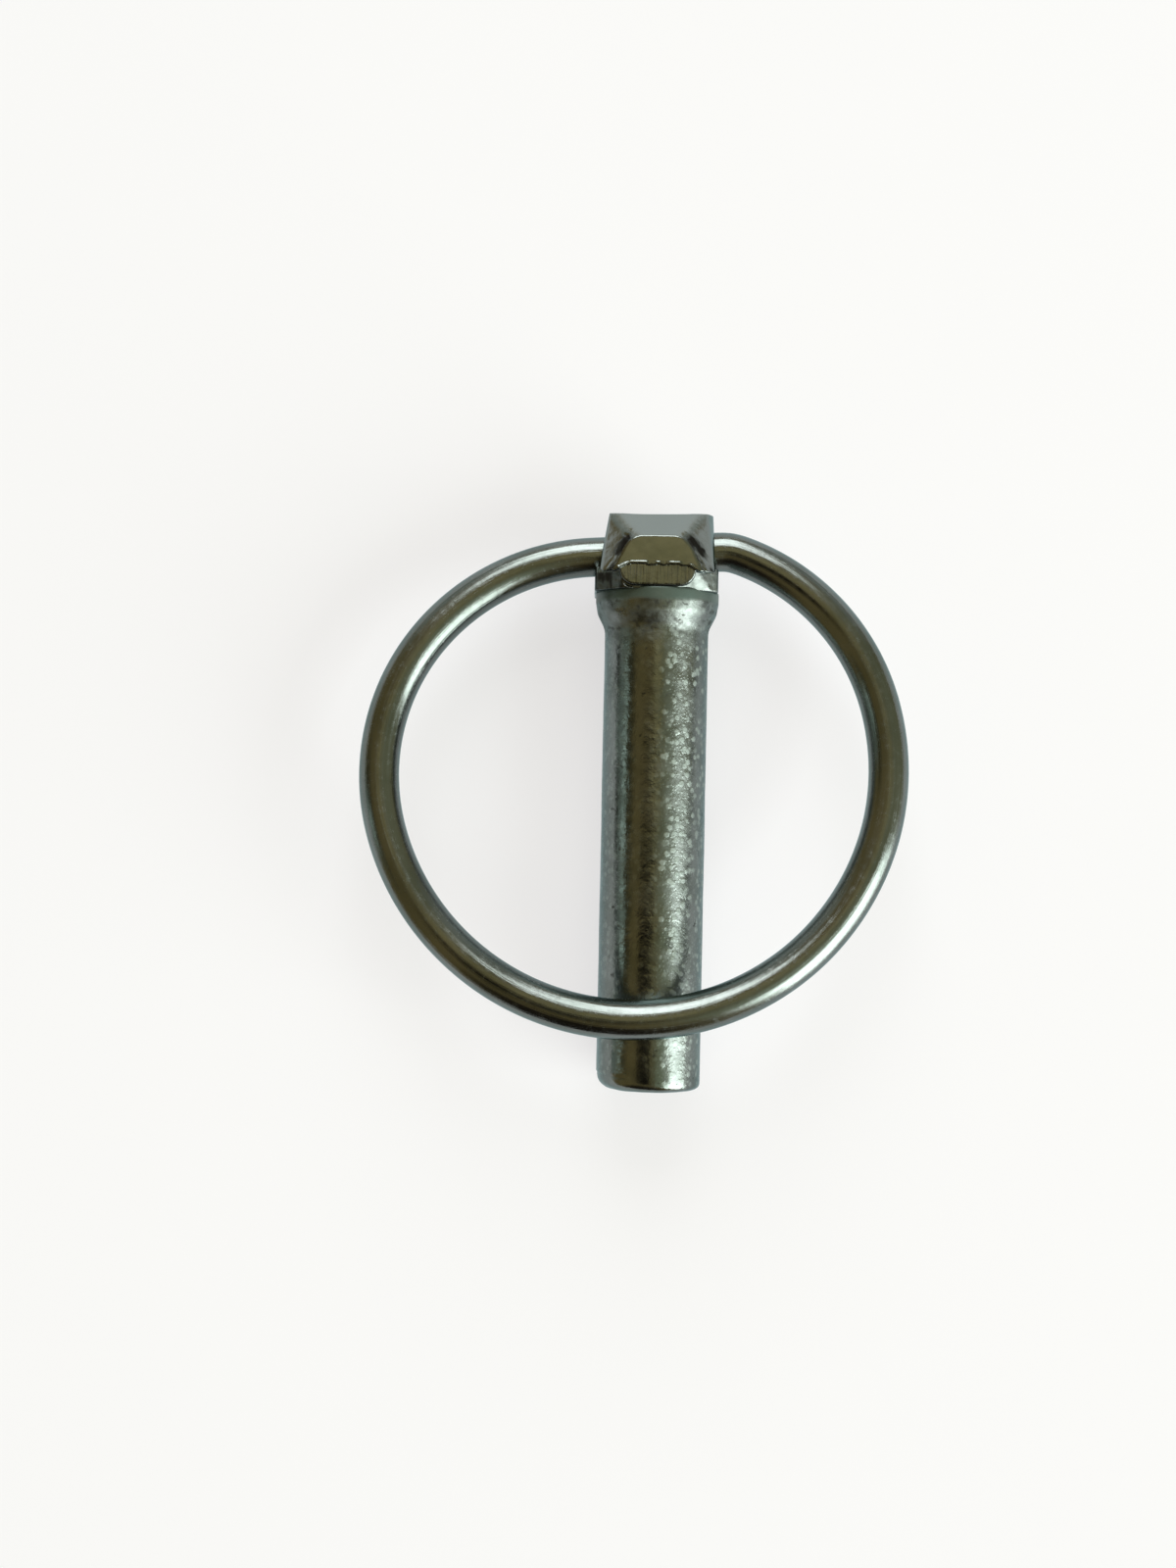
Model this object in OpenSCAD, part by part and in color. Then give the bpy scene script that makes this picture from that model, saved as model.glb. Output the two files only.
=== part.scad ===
// Linch pin: a forged pin with a pressed head, and a spring wire ring that swings in the head's cross bore.
// It is drawn upright, with the pin's axis along Z and its front towards -Y, and laid on its back at the end.
// The origin is on the pin's axis, where the straight wall of the shank starts under the neck. Sizes are in mm.

/* [Shank] */
// Diameter of the shank
shank_d = 10; // [8:0.1:12]
// How far the shank's tip reaches past the closed ring's wire
tip_over = 5.7; // [4:0.1:12]
// Rounding of the sheared tip, where it is largest
tip_round = 1.5; // [0.6:0.1:2]
// How far the tip's rounding lies off the pin's axis
tip_shift = 0.3; // [0.1:0.05:0.5]

/* [Collar] */
// How far the collar's band stands out from the shank
collar_step = 0.95; // [0.6:0.05:2]
// Height of the neck, from the straight shank to the collar's shoulder
neck_h = 1.95; // [1.5:0.05:4]
// Height of the collar's drawn side, from its shoulder to its band
side_h = 1.15; // [0.6:0.05:3]
// Height of the plain band at the collar's top
band_h = 1.1; // [0.6:0.1:3]
// How far the collar draws in from its band to its shoulder
collar_draw = 0.2; // [0.1:0.05:0.3]
// Radius of the hollow between neck and shank
neck_fillet = 2; // [0.5:0.1:4]
// Radius of the collar's shoulder
shoulder_round = 1.5; // [0.8:0.1:2]

/* [Head foot] */
// How far the head is pressed off the pin's axis, to the left
head_off = 0.2; // [0:0.05:0.4]
// Width of the foot across the bored sides
foot_w = 11.8; // [11.5:0.1:13]
// Depth of the foot across the corner faces' flats, front to back
foot_depth = 11.6; // [11:0.1:11.9]
// Height of the foot up to the ridge
foot_h = 1.95; // [1.5:0.05:2.4]
// Turn of the foot's corner faces from the front
foot_corner_turn = 42; // [35:1:50]
// Half width of the foot's front, before its corner faces start
foot_front = 3.2; // [2.8:0.1:3.5]
// How far the pressed pad stands proud of the foot's front
pad_proud = 0.25; // [0.1:0.05:0.4]
// Half width of the pad
pad_half = 3.6; // [3:0.1:3.9]
// Radius of the pad's lower corners
pad_round = 1.5; // [0.8:0.1:1.7]

/* [Crown] */
// Depth of the crown across its front and back pads
crown_depth = 12.4; // [12.2:0.1:13]
// Wall between the cross bore and the crown's top
top_wall = 1.55; // [1:0.05:3]
// Half width of the crown at the ridge, on the left side
left_half = 5.5; // [5.3:0.05:5.9]
// Lean of the left side
left_lean = 9.5; // [4:0.5:12]
// Half width of the crown at the ridge, on the right side
right_half = 5.5; // [5.3:0.05:5.9]
// Lean of the right side
right_lean = 1; // [0.5:0.5:8]
// Half width of the crown's pad at the ridge
crown_pad_low = 3.85; // [3.6:0.05:4.2]
// Half width of the crown's pad at its top edge
crown_pad_top = 2.5; // [2:0.1:3]
// Height of the crown's pad
crown_pad_h = 2.65; // [2.3:0.05:3]
// Slope of the top bevels to the pads
top_bevel = 46; // [40:1:52]
// Turn of the crown's corner faces from the front
corner_turn = 40; // [34:1:46]
// Turn of the narrow edge faces from the front
edge_turn = 64; // [58:1:70]
// Lean of the narrow edge faces
edge_lean = 14; // [8:1:18]
// Width of the corner face at the ridge
corner_w = 1.5; // [1.3:0.05:1.7]
// Hollow of the top between its corners
top_dish = 0.2; // [0.1:0.05:0.5]
// Slant of the top, right end higher
top_slant = 0.8; // [0:0.1:2]

/* [Cross bore] */
// Height of the bore's middle above the ridge
bore_rise = 1.75; // [1.6:0.05:2.1]
// Slant of the bore, right end higher
bore_slant = 3.5; // [0:0.5:5]
// Running clearance round the wire, on the radius
bore_clear = 0.1; // [0.05:0.01:0.2]

/* [Spring ring] */
// Diameter of the wire
wire_d = 3.8; // [3:0.1:4]
// Inside diameter of the ring's round part
ring_inner_d = 44.8; // [42:0.1:50]
// How far the ring's arms are drawn in from the round part
arm_draw = 3.1; // [3:0.05:3.6]
// Bending radius of the right end, along the wire's middle
end_bend = 5; // [4:0.1:6]
// Straight wire outside the head on the left
left_run = 0.9; // [0.6:0.05:1.2]
// Straight wire outside the head on the right
right_run = 0.7; // [0.3:0.05:0.8]
// Gap between the wire's two ends inside the bore
end_gap = 2; // [1:0.5:4]
// Gap between the closed ring and the shank
seat_gap = 0.1; // [0.05:0.05:0.3]
// How much thicker the wire is where two bends meet
meet_over = 0.06; // [0.04:0.01:0.1]
// Length of wire over which two bends meet
meet_length = 0.4; // [0.3:0.05:0.5]

/* [Hidden] */
$fn = 96;
arc_steps = 8;
sink = 1;

shank_r = shank_d / 2;
wire_r = wire_d / 2;
bore_r = wire_r + bore_clear;

// neck: the straight wall ends at 0, and a cone runs from the hollow above it to the shoulder
band_r = shank_r + collar_step;
shoulder_step = collar_step - collar_draw;
shoulder_r = shank_r + shoulder_step;
fillet_limit = (shoulder_step * shoulder_step + neck_h * neck_h) / (2 * shoulder_step);
hollow_r = min(neck_fillet, 0.8 * fillet_limit);
hollow_in = hollow_r - shoulder_step;
neck_angle = atan2(neck_h, hollow_in) - acos(hollow_r / norm([hollow_in, neck_h]));
band_z = neck_h + side_h;
collar_h = band_z + band_h;
upper_angle = atan(collar_draw / side_h);
shoulder_tangent = shoulder_round * tan((neck_angle - upper_angle) / 2);

// head levels
ridge_z = collar_h + foot_h;
crown_h = bore_rise + bore_r + top_wall;
top_z = ridge_z + crown_h;
bore_z = ridge_z + bore_rise;
pad_depth = foot_depth + 2 * pad_proud;

// crown faces
pad_lean = atan((crown_pad_low - crown_pad_top) / crown_pad_h);
corner_lean = atan(sin(corner_turn) * tan(pad_lean));
edge_x = crown_pad_low + corner_w;
edge_y = crown_depth / 2 - corner_w * tan(corner_turn);
crown_w = left_half + right_half;
reach = 2 * (crown_w + crown_depth + crown_h);
dish_r = (crown_w * crown_w / 4 + top_dish * top_dish) / (2 * top_dish);

// where the bore's line leaves the two leaning sides
left_mouth = (left_half + head_off - bore_rise * tan(left_lean)) / (cos(bore_slant) - sin(bore_slant) * tan(left_lean));
right_mouth = (right_half - head_off - bore_rise * tan(right_lean)) / (cos(bore_slant) + sin(bore_slant) * tan(right_lean));

// ring along the bore's line: left arm, round part, right arm and end bend touch without a corner
ring_r = ring_inner_d / 2 + wire_r;
arm_r = ring_r - arm_draw;
left_x = left_mouth + left_run;
right_x = right_mouth + right_run;
ends_apart = left_x + right_x;
bend_step = arm_r - end_bend;
bend_reach = norm([ends_apart, bend_step]);
bend_share = (ends_apart * ends_apart + 2 * bend_step * bend_step - 4 * arm_draw * arm_draw) / (2 * bend_step);
bend_turn = atan2(ends_apart, bend_step) - acos(bend_share / bend_reach);
left_turn = atan2(ends_apart - bend_step * sin(bend_turn), -bend_step * (1 - cos(bend_turn)));
left_centre = [-left_x, arm_r];
ring_centre = left_centre + arm_draw * [sin(left_turn), cos(left_turn)];
right_centre = ring_centre + arm_draw * [sin(left_turn), cos(left_turn)];
bend_centre = right_centre + bend_step * [sin(bend_turn), -cos(bend_turn)];

// the closed ring's foot crosses the shank and rests on its front
cross_reach = ring_centre[1] + sqrt(ring_r * ring_r - ring_centre[0] * ring_centre[0]);
closed_angle = asin((shank_r + wire_r + seat_gap) / cross_reach);
shank_length = cross_reach * cos(closed_angle) * cos(bore_slant) - bore_z + wire_r + tip_over;

function arc(centre, r, from, to) =
    [for (i = [0:arc_steps]) centre + r * [cos(from + (to - from) * i / arc_steps), sin(from + (to - from) * i / arc_steps)]];

// Lays the upright pin on its back, with the head towards +Y and its front up.
module lay() {
    rotate([-90, 0, 0])
        children();
}

// Keeps what lies inside a plane. turn is from the front to the right, lean is upwards.
module inside(turn, lean, distance) {
    rotate([0, 0, turn])
        rotate([-lean, 0, 0])
            translate([-reach, -distance, -reach])
                cube(2 * reach);
}

// Keeps what lies inside the plane with this turn and lean through a point.
module inside_at(point, turn, lean) {
    translate(point)
        inside(turn, lean, 0);
}

// Half section of the collar and its neck.
module collar_section() {
    shoulder = [shoulder_r, neck_h];
    low = [shank_r + hollow_r, 0];
    high = shoulder
        - shoulder_tangent * [sin(neck_angle), cos(neck_angle)]
        - shoulder_round * [cos(neck_angle), -sin(neck_angle)];
    polygon(concat(
        [[0, -sink], [shank_r, -sink]],
        arc(low, hollow_r, 180, 180 - neck_angle),
        arc(high, shoulder_round, -neck_angle, -upper_angle),
        [[band_r, band_z], [band_r, collar_h], [0, collar_h]]
    ));
}

// Half section of the rounded end that trims the tip.
module tip_section() {
    tip_r = shank_r + tip_shift;
    polygon(concat(
        [[0, -shank_length]],
        arc([tip_r - tip_round, tip_round - shank_length], tip_round, -90, 0),
        [[tip_r, sink], [0, sink]]
    ));
}

module shank() {
    intersection() {
        translate([0, 0, -shank_length])
            cylinder(d = shank_d, h = shank_length);
        translate([tip_shift, 0, 0])
            rotate_extrude()
                tip_section();
    }
}

// Front view of the pressed pad below the ridge, with rounded lower corners.
module pad_outline() {
    for (side = [-1, 1])
        translate([side * (pad_half - pad_round), collar_h + pad_round])
            circle(r = pad_round);
    translate([pad_round - pad_half, collar_h])
        square([2 * (pad_half - pad_round), foot_h]);
    translate([-pad_half, collar_h + pad_round])
        square([2 * pad_half, foot_h - pad_round]);
}

module foot() {
    intersection() {
        translate([-foot_w / 2, -foot_depth / 2, collar_h])
            cube([foot_w, foot_depth, foot_h]);
        for_corners();
    }
    rotate([90, 0, 0])
        linear_extrude(height = pad_depth, center = true)
            pad_outline();
}

// The foot's four corner faces.
module for_corners() {
    corner = [foot_front, -foot_depth / 2, 0];
    intersection() {
        inside_at(corner, foot_corner_turn, 0);
        mirror([1, 0, 0])
            inside_at(corner, foot_corner_turn, 0);
        mirror([0, 1, 0])
            inside_at(corner, foot_corner_turn, 0);
        mirror([1, 0, 0])
            mirror([0, 1, 0])
                inside_at(corner, foot_corner_turn, 0);
    }
}

// One quarter's bevels: the top bevel, a corner face and a narrow edge face.
module quarter_faces() {
    intersection() {
        inside_at([0, -crown_depth / 2, ridge_z + crown_pad_h], 0, top_bevel);
        inside_at([crown_pad_low, -crown_depth / 2, ridge_z], corner_turn, corner_lean);
        inside_at([edge_x, -edge_y, ridge_z], edge_turn, edge_lean);
    }
}

module crown() {
    difference() {
        intersection() {
            translate([-reach, -crown_depth / 2, ridge_z])
                cube([2 * reach, crown_depth, 2 * crown_h]);
            inside_at([-left_half, 0, ridge_z], -90, left_lean);
            inside_at([right_half, 0, ridge_z], 90, right_lean);
            quarter_faces();
            mirror([1, 0, 0])
                quarter_faces();
            mirror([0, 1, 0])
                quarter_faces();
            mirror([1, 0, 0])
                mirror([0, 1, 0])
                    quarter_faces();
        }
        translate([0, 0, top_z - top_dish])
            rotate([0, -top_slant, 0])
                translate([0, 0, dish_r])
                    rotate([90, 0, 0])
                        cylinder(r = dish_r, h = 2 * reach, center = true);
    }
}

module cross_bore() {
    translate([0, 0, bore_z])
        rotate([0, 90 - bore_slant, 0])
            cylinder(r = bore_r, h = 2 * reach, center = true);
}

module pin_body() {
    color([0.66, 0.68, 0.66])
        lay()
            difference() {
                union() {
                    shank();
                    rotate_extrude()
                        collar_section();
                    translate([-head_off, 0, 0]) {
                        foot();
                        crown();
                    }
                }
                cross_bore();
            }
}

// A stretch of wire bent round a centre in the ring's own plane. from is measured from the head outwards to the left.
module bend(centre, r, from, turn) {
    translate(centre)
        rotate([0, 0, -90 - from - turn])
            rotate_extrude(angle = turn)
                translate([r, 0])
                    circle(d = wire_d);
}

// The short stretch where a bend meets the next one, at this turn round the bend's centre.
module meet(centre, r, at) {
    translate(centre)
        rotate([0, 0, -90 - at])
            translate([r, 0, 0])
                rotate([90, 0, 0])
                    cylinder(d = wire_d + meet_over, h = meet_length, center = true);
}

// A straight end of the wire on the bore's line.
module straight(from, to) {
    translate([from, 0, 0])
        rotate([0, 90, 0])
            cylinder(d = wire_d, h = to - from);
}

module ring_flat() {
    straight(-left_x, -end_gap / 2);
    meet(left_centre, arm_r, 0);
    bend(left_centre, arm_r, 0, left_turn);
    meet(left_centre, arm_r, left_turn);
    bend(ring_centre, ring_r, left_turn, 180);
    meet(right_centre, arm_r, left_turn + 180);
    bend(right_centre, arm_r, left_turn + 180, 180 - left_turn - bend_turn);
    meet(bend_centre, end_bend, 360 - bend_turn);
    bend(bend_centre, end_bend, 360 - bend_turn, bend_turn);
    meet(bend_centre, end_bend, 360);
    straight(end_gap / 2, right_x);
}

module spring_ring() {
    color([0.72, 0.74, 0.7])
        lay()
            translate([0, 0, bore_z])
                rotate([0, -bore_slant, 0])
                    rotate([-closed_angle, 0, 0])
                        rotate([-90, 0, 0])
                            ring_flat();
}

pin_body();
spring_ring();
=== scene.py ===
import math

import bpy
import numpy as np
from mathutils import Matrix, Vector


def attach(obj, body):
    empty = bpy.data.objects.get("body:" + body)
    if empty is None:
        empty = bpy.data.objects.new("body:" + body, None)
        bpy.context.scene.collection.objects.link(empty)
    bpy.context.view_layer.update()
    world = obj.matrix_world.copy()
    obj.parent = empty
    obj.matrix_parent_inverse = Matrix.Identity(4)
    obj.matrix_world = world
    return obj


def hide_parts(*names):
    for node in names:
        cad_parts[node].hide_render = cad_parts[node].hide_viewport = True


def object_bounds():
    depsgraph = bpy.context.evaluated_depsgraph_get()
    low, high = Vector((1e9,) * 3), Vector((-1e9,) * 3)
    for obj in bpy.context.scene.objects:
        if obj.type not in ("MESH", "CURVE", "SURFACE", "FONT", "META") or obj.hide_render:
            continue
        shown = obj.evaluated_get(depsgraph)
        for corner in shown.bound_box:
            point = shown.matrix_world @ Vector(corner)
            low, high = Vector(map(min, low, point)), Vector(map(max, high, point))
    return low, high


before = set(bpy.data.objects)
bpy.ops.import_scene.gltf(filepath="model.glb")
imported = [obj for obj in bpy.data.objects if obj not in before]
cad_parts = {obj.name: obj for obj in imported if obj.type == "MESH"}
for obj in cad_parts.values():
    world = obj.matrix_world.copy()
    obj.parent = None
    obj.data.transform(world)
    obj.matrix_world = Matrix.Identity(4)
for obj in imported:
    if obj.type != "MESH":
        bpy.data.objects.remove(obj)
cad_low, cad_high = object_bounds()

MM = 0.001
MICRON = 0.000001

# Shank and collar, in mm: the same sizes as the solids.
SHANK_R = 5.0
SHANK_L = 43.702
TIP_ROUND = 1.5
TIP_SHIFT = 0.3
COLLAR_STEP = 0.95
COLLAR_DRAW = 0.2
NECK_H = 1.95
SIDE_H = 1.15
BAND_H = 1.1
NECK_FILLET = 2.0
SHOULDER_ROUND = 1.5
BAND_LOW = NECK_H + SIDE_H
COLLAR_H = BAND_LOW + BAND_H

# Head, in mm and degrees: the same sizes as the solids.
HEAD_OFF = 0.2
FOOT_HALF = 5.9
FOOT_DEEP = 5.8
FOOT_H = 1.95
FOOT_TURN = 42
FOOT_FRONT = 3.2
PAD_DEEP = 6.05
PAD_HALF = 3.6
PAD_ROUND = 1.5
RIDGE = COLLAR_H + FOOT_H
CROWN_DEEP = 6.2
CROWN_H = 5.3
LEFT_HALF, LEFT_LEAN = 5.5, 9.5
RIGHT_HALF, RIGHT_LEAN = 5.5, 1.0
CROWN_PAD_LOW, CROWN_PAD_TOP, CROWN_PAD_H = 3.85, 2.5, 2.65
TOP_BEVEL = 46
CORNER_TURN, EDGE_TURN, EDGE_LEAN, CORNER_W = 40, 64, 14, 1.5
TOP_DISH, TOP_SLANT = 0.2, 0.8
TOP = RIDGE + CROWN_H

# Bore and ring, in mm: the same sizes as the solids.
BORE_Y = RIDGE + 1.75
BORE_R = 2.0
BORE_SLANT = math.radians(3.5)
WIRE_R = 1.9
RING_R = 24.3
ARM_DRAW = 3.1
ARM_R = RING_R - ARM_DRAW
END_BEND = 5.0
LEFT_X, RIGHT_X = 6.37327, 5.97367
END_GAP = 2.0
SEAT_GAP = 0.1

# Fineness of the meshes: points round and along, and steps in mm.
SHANK_AROUND, TIP_ROWS, WALL_ROWS = 224, 16, 290
FILLET_ROWS, SHOULDER_ROWS, BAND_ROWS = 12, 8, 6
TIP_SHARES = (0.12, 0.3, 0.5, 0.7, 0.85, 0.95, 1.0)
COLLAR_SHARES = (0.8, 0.4)
COLLAR_ROW = 0.14
HEAD_STEP = 0.11
HEAD_LOW, HEAD_HIGH = (-6.7, 3.7, -6.7), (6.5, 12.1, 6.7)
WIRE_AROUND, WIRE_ROW, ARC_STEP = 56, 0.34, 0.32

# Wear and finish of the shank, in mm and in degrees round it from the front.
BAND_ROUND = 0.22
TIP_SOFT = 0.35
WAVE_DEEP, PIT_DEEP = 0.020, 0.006
TIP_WORN_FROM, TIP_WORN_TO = -37.5, -39.5
TIP_ROUGH, TIP_ROUGH_H, TIP_HOLLOW = 0.05, 0.4, -0.02
# spans of the blisters round the shank, mostly on the lit front right, where their paler colour is partly
# painted highlight
BLISTERS_RIGHT = (-3, 14, 60, 150)
BLISTERS_LEFT = (-30, -55, -150, -178)

# Softness of the head's edges, in mm.
FOOT_SOFT, FOOT_LOW_SOFT, FOOT_TOP_SOFT = 0.3, 0.1, 0.15
PAD_SOFT, PAD_TOP_SOFT = 0.1, 0.05
CROWN_SOFT, CORNER_SOFT, FRONT_SOFT, RIDGE_SOFT, TOP_SOFT = 0.2, 0.12, 0.06, 0.05, 0.05
SLOPE_SOFT = 0.75
FACET_SOFT, GROOVE_SOFT, CREASE_SOFT, BORE_SOFT, JOIN_SOFT = 0.08, 0.06, 0.12, 0.12, 0.02

# Marks and damage on the head, in mm.
SKIN_DEEP, LUMP_DEEP, TORN_DEEP, STREAK_DEEP = 0.024, 0.05, 0.020, 0.012
FOOT_SINK, PAD_LAP = 0.3, 0.4
FACET_OUT, FACET_AT = (0.42, -0.30, 0.855), (4.0, 5.2, 5.05)
GROOVE_R, GROOVE_OUT, GROOVE_UP = 0.22, 0.1, 0.05
SAG, SAG_FROM, SAG_TO = 0.55, 2.5, 4.0
BURR_PROUD, BURR_UP, BURR_W = 0.09, 0.1, 0.11
CREASE_FROM, CREASE_TO = (2.7, 2.6, -0.1), (4.0, 3.3, -1.15)
CREASE_R, CREASE_TAPER = 0.27, 0.17
# where the painted shade runs down each crease from the pad's upper corners
NOOK_X, NOOK_UP, NOOK_RUN, NOOK_DROP = 2.7, 2.65, 1.2, 1.3
TORN_RIGHT, TORN_LEFT = 1.5, 0.8
PAD_REACH = 4.3

# Wear of the wire, in mm.
WIRE_WAVE, WIRE_LINES = 0.014, 0.004
WIRE_END_CUT, WIRE_END_L = 0.25, 0.5
WIRE_CALM = 3


class Noise:
    """Smooth lattice noise from a seeded table, about -1 to 1."""

    SIZE = 32
    SHIFT, FINER, WEAKER = 7.3, 2.03, 0.5

    def __init__(self, seed):
        self.table = np.random.default_rng(seed).uniform(-1, 1, (self.SIZE, self.SIZE, self.SIZE))

    def __call__(self, p):
        base = np.floor(p).astype(np.int64)
        t = p - base
        t = t * t * t * (t * (t * 6 - 15) + 10)
        out = np.zeros(p.shape[:-1])
        for corner in range(8):
            step = np.array([corner & 1, corner >> 1 & 1, corner >> 2 & 1])
            weight = np.where(step, t, 1 - t).prod(-1)
            i = (base + step) % self.SIZE
            out += weight * self.table[i[..., 0], i[..., 1], i[..., 2]]
        return out

    def layers(self, p, octaves):
        total, weight, scale = 0.0, 1.0, 1.0
        for _ in range(octaves):
            total = total + weight * self(p * scale + self.SHIFT * scale)
            weight *= self.WEAKER
            scale *= self.FINER
        return total


def smooth_step(low, high, x):
    t = np.clip((x - low) / (high - low), 0, 1)
    return t * t * (3 - 2 * t)


def between(span, x):
    """1 from the span's second value to its third, fading to 0 at its first and last."""
    start, full, hold, stop = span
    return smooth_step(start, full, x) * smooth_step(stop, hold, x)


def smooth_max(a, b, k):
    h = np.maximum(k - np.abs(a - b), 0) / k
    return np.maximum(a, b) + h * h * k / 4


def smooth_min(a, b, k):
    return -smooth_max(-a, -b, k)


def mesh_object(name, points, faces):
    """A smooth mesh in metres from points in mm."""
    mesh = bpy.data.meshes.new(name)
    mesh.from_pydata((np.asarray(points) * MM).tolist(), [], [list(map(int, f)) for f in faces])
    mesh.validate()
    mesh.polygons.foreach_set("use_smooth", np.ones(len(mesh.polygons), bool))
    mesh.update()
    obj = bpy.data.objects.new(name, mesh)
    bpy.context.scene.collection.objects.link(obj)
    return obj


def point_value(obj, name, values):
    layer = obj.data.attributes.new(name, "FLOAT", "POINT")
    layer.data.foreach_set("value", np.asarray(values, np.float32))


def tube_faces(rows, around, flip=False):
    """Quads between rings of points, and a fan to one more point at each end."""
    j = np.arange(around)
    k = (j + 1) % around
    faces = []
    for i in range(rows - 1):
        a, b = i * around, (i + 1) * around
        faces += np.stack([a + j, b + j, b + k, a + k], 1).tolist()
    start, end, last = rows * around, rows * around + 1, (rows - 1) * around
    faces += [[start, a, b] for a, b in zip(j, k)]
    faces += [[end, last + b, last + a] for a, b in zip(j, k)]
    if flip:
        faces = [[face[0], *face[:0:-1]] for face in faces]
    return faces


def distance_along(points):
    """Each point's distance from the first one along a polyline."""
    return np.concatenate([[0], np.cumsum(np.linalg.norm(np.diff(points, axis=0), axis=1))])


def even(points, step):
    """Points at about even steps along a polyline."""
    points = np.asarray(points, float)
    length = distance_along(points)
    keep = np.concatenate([[True], np.diff(length) > 1e-9])
    points, length = points[keep], length[keep]
    n = max(2, int(round(length[-1] / step)) + 1)
    at = np.linspace(0, length[-1], n)
    return np.stack([np.interp(at, length, points[:, i]) for i in range(points.shape[1])], 1)


def collar_profile():
    """(radius, y) from the straight shank up to the collar's top."""
    shoulder_step = COLLAR_STEP - COLLAR_DRAW
    inward = NECK_FILLET - shoulder_step
    slope = math.atan2(NECK_H, inward) - math.acos(NECK_FILLET / math.hypot(inward, NECK_H))
    upper = math.atan(COLLAR_DRAW / SIDE_H)
    shoulder = np.array([SHANK_R + shoulder_step, NECK_H])
    pts = []
    for a in np.linspace(0, slope, FILLET_ROWS):
        pts.append([SHANK_R + NECK_FILLET * (1 - math.cos(a)), NECK_FILLET * math.sin(a)])
    run = SHOULDER_ROUND * math.tan((slope - upper) / 2)
    along = np.array([math.sin(slope), math.cos(slope)])
    outward = np.array([math.cos(slope), -math.sin(slope)])
    centre = shoulder - run * along - SHOULDER_ROUND * outward
    for a in np.linspace(slope, upper, SHOULDER_ROWS):
        pts.append(list(centre + SHOULDER_ROUND * np.array([math.cos(a), -math.sin(a)])))
    band_r = SHANK_R + COLLAR_STEP
    pts.append([band_r, BAND_LOW])
    for a in np.linspace(0, math.pi / 2, BAND_ROWS):
        pts.append([band_r - BAND_ROUND * (1 - math.cos(a)), COLLAR_H - BAND_ROUND * (1 - math.sin(a))])
    return np.array(pts)


def shank_rings():
    """(radius, y, in the tip) of each ring of points: the tip's end and rounding, the wall, the collar."""
    core = SHANK_R + TIP_SHIFT - TIP_ROUND
    rings = [(share * core, -SHANK_L, True) for share in TIP_SHARES]
    for a in np.linspace(0, math.pi / 2, TIP_ROWS)[1:]:
        rings.append((core + TIP_ROUND * math.sin(a), TIP_ROUND * (1 - math.cos(a)) - SHANK_L, True))
    for y in np.linspace(TIP_ROUND - SHANK_L, 0, WALL_ROWS)[1:-1]:
        rings.append((SHANK_R, y, False))
    upper = even(collar_profile(), COLLAR_ROW)
    rings += [(r, y, False) for r, y in upper]
    rings += [(share * upper[-1][0], COLLAR_H, False) for share in COLLAR_SHARES]
    return rings


def shank_points(rings):
    theta = np.arange(SHANK_AROUND) * 2 * math.pi / SHANK_AROUND
    rows = []
    for r, y, in_tip in rings:
        radius = np.full(SHANK_AROUND, r)
        if in_tip:
            reach = TIP_SHIFT * np.cos(theta) + np.sqrt(r * r - (TIP_SHIFT * np.sin(theta)) ** 2)
            # a soft corner where the rounding meets the wall
            radius = smooth_min(reach, np.full(SHANK_AROUND, SHANK_R), TIP_SOFT)
        rows.append(np.stack([radius * np.cos(theta), np.full(SHANK_AROUND, y), radius * np.sin(theta)], 1))
    return np.vstack(rows)


def wear_shank(points, waves, pits):
    """The points moved by the wall's waves and pits, and by the tip's uneven end."""
    out = points * [1, 0, 1]
    length = np.linalg.norm(out, axis=1, keepdims=True)
    out = out / np.maximum(length, 1e-6)
    side = smooth_step(3.6, 4.6, length[:, 0])
    wave = WAVE_DEEP * waves.layers(points * [0.28, 0.16, 0.28], 2)
    rough = PIT_DEEP * pits.layers(points * [1.7, 1.2, 1.7], 2)
    band = smooth_step(BAND_LOW - 0.3, BAND_LOW + 0.2, points[:, 1])
    worn = smooth_step(TIP_WORN_FROM, TIP_WORN_TO, points[:, 1])
    amount = side * (1 - 0.8 * band)
    depth = (wave * (1 - 0.5 * worn) + rough * (1 - 0.7 * worn)) * amount
    points = points + out * depth[:, None]
    end = TIP_ROUGH * waves.layers(points * [0.5, 0.5, 0.5] + 3, 2)
    end = end * smooth_step(-SHANK_L + TIP_ROUGH_H, -SHANK_L, points[:, 1])
    points[:, 1] += np.maximum(end, TIP_HOLLOW)
    return points


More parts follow.
